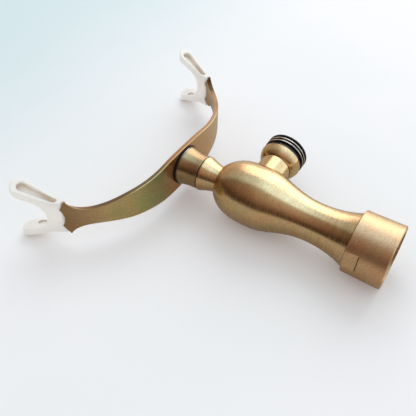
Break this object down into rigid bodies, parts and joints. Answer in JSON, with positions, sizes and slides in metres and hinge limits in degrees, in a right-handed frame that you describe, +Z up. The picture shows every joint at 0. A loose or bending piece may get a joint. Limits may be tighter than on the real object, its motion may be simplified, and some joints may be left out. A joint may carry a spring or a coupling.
{
  "type": "bath mixer riser with hand shower cradle",
  "caption": "Antique brass riser of a telephone-style bath mixer, with union nut, side hose outlet and a swivelling cradle that holds a hand shower in plastic forks.",
  "frame": {"origin": "centre of the union nut's lower face, where the riser is screwed onto the mixer", "axes": "+Z up the riser, +X along the hose outlet; the cradle stands at rest with its long axis turned 4.6 degrees from +X towards +Y"},
  "size_m": [0.139, 0.0416, 0.1532],
  "materials": {
    "brushed_brass": "antique brass, brushed in fine circles",
    "nut_brass": "antique brass, smooth turned",
    "strip_brass": "antique brass, brushed lengthwise",
    "raw_brass": "plain machined brass",
    "black_thread": "glossy black",
    "black_rubber": "black rubber",
    "fibre_washer": "red-brown flat sealing washer",
    "stainless": "stainless steel",
    "nylon": "natural nylon",
    "milky_plastic": "milky white, slightly translucent"
  },
  "bodies": {
    "riser": {"riser_body": "brushed_brass", "tailpiece": "raw_brass", "tailpiece_seal": "black_rubber", "union_washer": "fibre_washer", "inlet_strainer": "stainless", "outlet_boss": "brushed_brass", "adapter_seal": "black_rubber", "hose_adapter": "black_thread", "check_cage": "nylon", "check_spring": "stainless", "pivot_post": "raw_brass", "swivel_oring": "black_rubber", "thrust_washer": "nylon", "circlip": "stainless"},
    "union_nut": {"union_nut": "nut_brass"},
    "cradle": {"swivel_sleeve": "brushed_brass", "sleeve_plug": "raw_brass", "shim_washer": "stainless", "cradle_washer": "black_rubber", "cradle_strip": "strip_brass", "lock_washer": "stainless", "cradle_screw": "raw_brass", "left_fork": "milky_plastic", "right_fork": "milky_plastic"},
    "check_poppet": {"check_poppet": "nylon", "poppet_seal": "black_rubber"}
  },
  "joints": [
    {"name": "cradle_swivel", "type": "hinge", "parent": "riser", "child": "cradle", "pos_m": [0, 0, 0.1], "axis": [0, 0, 1], "continuous": true},
    {"name": "union_nut_spin", "type": "hinge", "parent": "riser", "child": "union_nut", "pos_m": [0, 0, 0.015], "axis": [0, 0, 1], "continuous": true},
    {"name": "check_poppet_slide", "type": "slide", "parent": "riser", "child": "check_poppet", "axis": [1, 0, 0], "range_m": [0, 0.0015], "stiffness_N_per_m": 80, "springref_m": -0.003, "deforming": ["check_spring"]}
  ]
}
